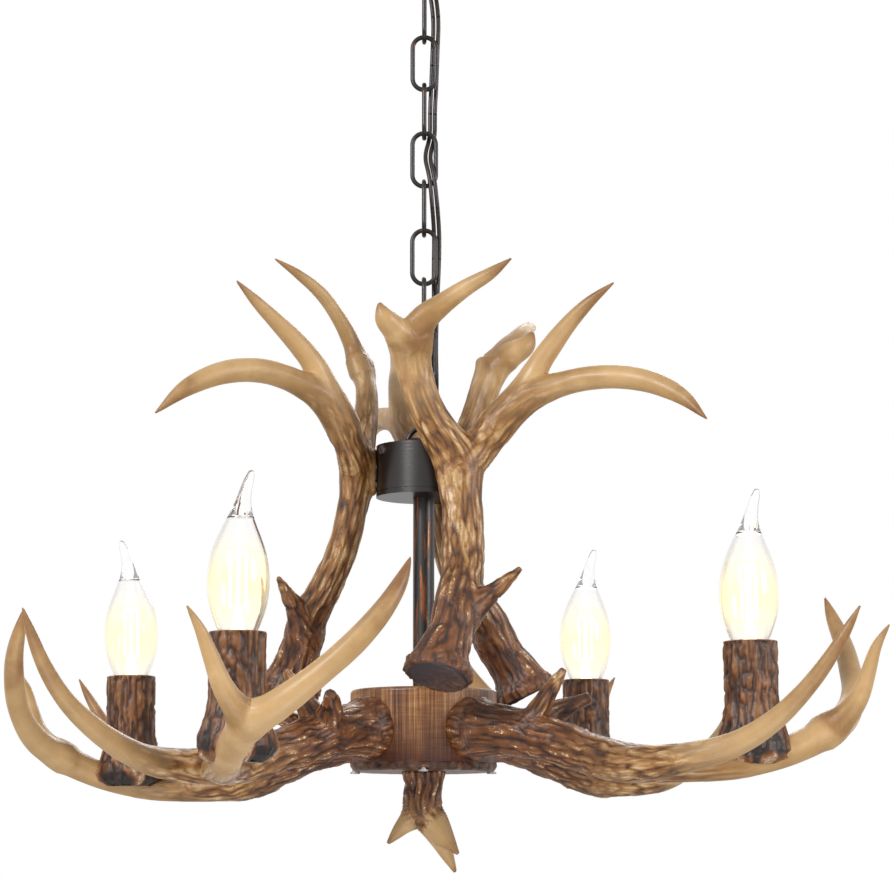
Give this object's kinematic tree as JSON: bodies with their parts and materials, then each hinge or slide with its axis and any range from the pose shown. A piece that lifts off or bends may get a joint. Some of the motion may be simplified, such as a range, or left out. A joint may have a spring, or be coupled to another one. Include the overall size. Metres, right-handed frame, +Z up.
{
  "type": "antler chandelier",
  "caption": "Hanging ceiling light of branching antler castings round a drum hub, candle sleeves with flame bulbs, upper antlers on a collar, chain and domed ceiling cover.",
  "frame": {"origin": "middle of the ceiling bar's upper face, between the two ceiling screw holes", "axes": "+Z up, out of the ceiling face along the chain; the pictured front is -Y; the two ceiling screw holes lie along X"},
  "size_m": [0.5442, 0.5439, 0.6091],
  "materials": {
    "antler_resin": "cast resin, wiped brown glaze over cream",
    "bark_resin": "cast resin, bark texture",
    "brushed_wood_finish": "vertical grain, satin",
    "bronze_painted_steel": "black-bronze paint rubbed with copper",
    "plated_steel": "zinc plated",
    "holder_plastic": "moulded",
    "clear_glass": "clear",
    "cap_metal": "nickel plated",
    "led_filament": "phosphor coated",
    "black_rubber": "moulded",
    "lead_insulation": "extruded"
  },
  "bodies": {
    "ceiling_fitting": {"ceiling_bar": "plated_steel", "canopy_cover": "bronze_painted_steel", "canopy_nipple": "plated_steel", "bar_lock_nut": "plated_steel", "canopy_ring_nut": "bronze_painted_steel", "canopy_loop": "bronze_painted_steel"},
    "link_1": {"chain_link_1": "bronze_painted_steel"},
    "link_2": {"chain_link_2": "bronze_painted_steel"},
    "link_3": {"chain_link_3": "bronze_painted_steel"},
    "link_4": {"chain_link_4": "bronze_painted_steel"},
    "link_5": {"chain_link_5": "bronze_painted_steel"},
    "link_6": {"chain_link_6": "bronze_painted_steel"},
    "link_7": {"chain_link_7": "bronze_painted_steel"},
    "link_8": {"chain_link_8": "bronze_painted_steel"},
    "link_9": {"chain_link_9": "bronze_painted_steel"},
    "fixture": {"body_loop": "bronze_painted_steel", "loop_lock_nut": "plated_steel", "collar_drum": "bronze_painted_steel", "collar_lid": "bronze_painted_steel", "collar_lid_screws": "plated_steel", "lead_grommet": "black_rubber", "stem": "bronze_painted_steel", "stem_nuts": "plated_steel", "hub_shell": "brushed_wood_finish", "hub_plate": "brushed_wood_finish", "hub_plate_screws": "plated_steel", "finial_bolt": "plated_steel", "terminal_block": "holder_plastic", "finial_antler": "antler_resin", "arm_bolts": "plated_steel", "lamp_wires": "lead_insulation", "upper_antler_front": "antler_resin", "upper_antler_left": "antler_resin", "upper_antler_back": "antler_resin", "upper_antler_screws": "plated_steel", "supply_leads": "lead_insulation", "arm_antler_front_left": "antler_resin", "candle_sleeve_front_left": "bark_resin", "lamp_holder_front_left": "holder_plastic", "arm_antler_front_right": "antler_resin", "candle_sleeve_front_right": "bark_resin", "lamp_holder_front_right": "holder_plastic", "arm_antler_back_right": "antler_resin", "candle_sleeve_back_right": "bark_resin", "lamp_holder_back_right": "holder_plastic", "arm_antler_back_left": "antler_resin", "candle_sleeve_back_left": "bark_resin", "lamp_holder_back_left": "holder_plastic"},
    "bulb_front_left": {"bulb_glass_front_left": "clear_glass", "bulb_cap_front_left": "cap_metal", "bulb_filament_front_left": "led_filament"},
    "bulb_front_right": {"bulb_glass_front_right": "clear_glass", "bulb_cap_front_right": "cap_metal", "bulb_filament_front_right": "led_filament"},
    "bulb_back_right": {"bulb_glass_back_right": "clear_glass", "bulb_cap_back_right": "cap_metal", "bulb_filament_back_right": "led_filament"},
    "bulb_back_left": {"bulb_glass_back_left": "clear_glass", "bulb_cap_back_left": "cap_metal", "bulb_filament_back_left": "led_filament"}
  },
  "joints": [
    {"name": "chain_joint_1", "type": "hinge", "parent": "ceiling_fitting", "child": "link_1", "pos_m": [0, 0, -0.0457], "axis": [1, 0, 0], "range_deg": [-6, 6], "deforming": ["supply_leads"]},
    {"name": "chain_joint_2", "type": "hinge", "parent": "link_1", "child": "link_2", "pos_m": [0, 0, -0.0776], "axis": [0, 1, 0], "range_deg": [-6, 6], "deforming": ["supply_leads"]},
    {"name": "chain_joint_3", "type": "hinge", "parent": "link_2", "child": "link_3", "pos_m": [0, 0, -0.1096], "axis": [1, 0, 0], "range_deg": [-6, 6], "deforming": ["supply_leads"]},
    {"name": "chain_joint_4", "type": "hinge", "parent": "link_3", "child": "link_4", "pos_m": [0, 0, -0.1416], "axis": [0, 1, 0], "range_deg": [-6, 6], "deforming": ["supply_leads"]},
    {"name": "chain_joint_5", "type": "hinge", "parent": "link_4", "child": "link_5", "pos_m": [0, 0, -0.1736], "axis": [1, 0, 0], "range_deg": [-6, 6], "deforming": ["supply_leads"]},
    {"name": "chain_joint_6", "type": "hinge", "parent": "link_5", "child": "link_6", "pos_m": [0, 0, -0.2056], "axis": [0, 1, 0], "range_deg": [-6, 6], "deforming": ["supply_leads"]},
    {"name": "chain_joint_7", "type": "hinge", "parent": "link_6", "child": "link_7", "pos_m": [0, 0, -0.2376], "axis": [1, 0, 0], "range_deg": [-6, 6], "deforming": ["supply_leads"]},
    {"name": "chain_joint_8", "type": "hinge", "parent": "link_7", "child": "link_8", "pos_m": [0, 0, -0.2696], "axis": [0, 1, 0], "range_deg": [-6, 6], "deforming": ["supply_leads"]},
    {"name": "chain_joint_9", "type": "hinge", "parent": "link_8", "child": "link_9", "pos_m": [0, 0, -0.3016], "axis": [1, 0, 0], "range_deg": [-6, 6], "deforming": ["supply_leads"]},
    {"name": "chain_joint_10", "type": "hinge", "parent": "link_9", "child": "fixture", "pos_m": [0, 0, -0.3336], "axis": [0, 1, 0], "range_deg": [-6, 6], "deforming": ["supply_leads"]},
    {"name": "bulb_front_left_unscrew", "type": "slide", "parent": "fixture", "child": "bulb_front_left", "axis": [0, 0, 1], "range_m": [0, 0.026]},
    {"name": "bulb_front_right_unscrew", "type": "slide", "parent": "fixture", "child": "bulb_front_right", "axis": [-0.0092, 0.0093, 0.9999], "range_m": [0, 0.026]},
    {"name": "bulb_back_right_unscrew", "type": "slide", "parent": "fixture", "child": "bulb_back_right", "axis": [-0.0016, -0.0016, 1], "range_m": [0, 0.026]},
    {"name": "bulb_back_left_unscrew", "type": "slide", "parent": "fixture", "child": "bulb_back_left", "axis": [-0.0145, 0.0144, 0.9998], "range_m": [0, 0.026]}
  ]
}
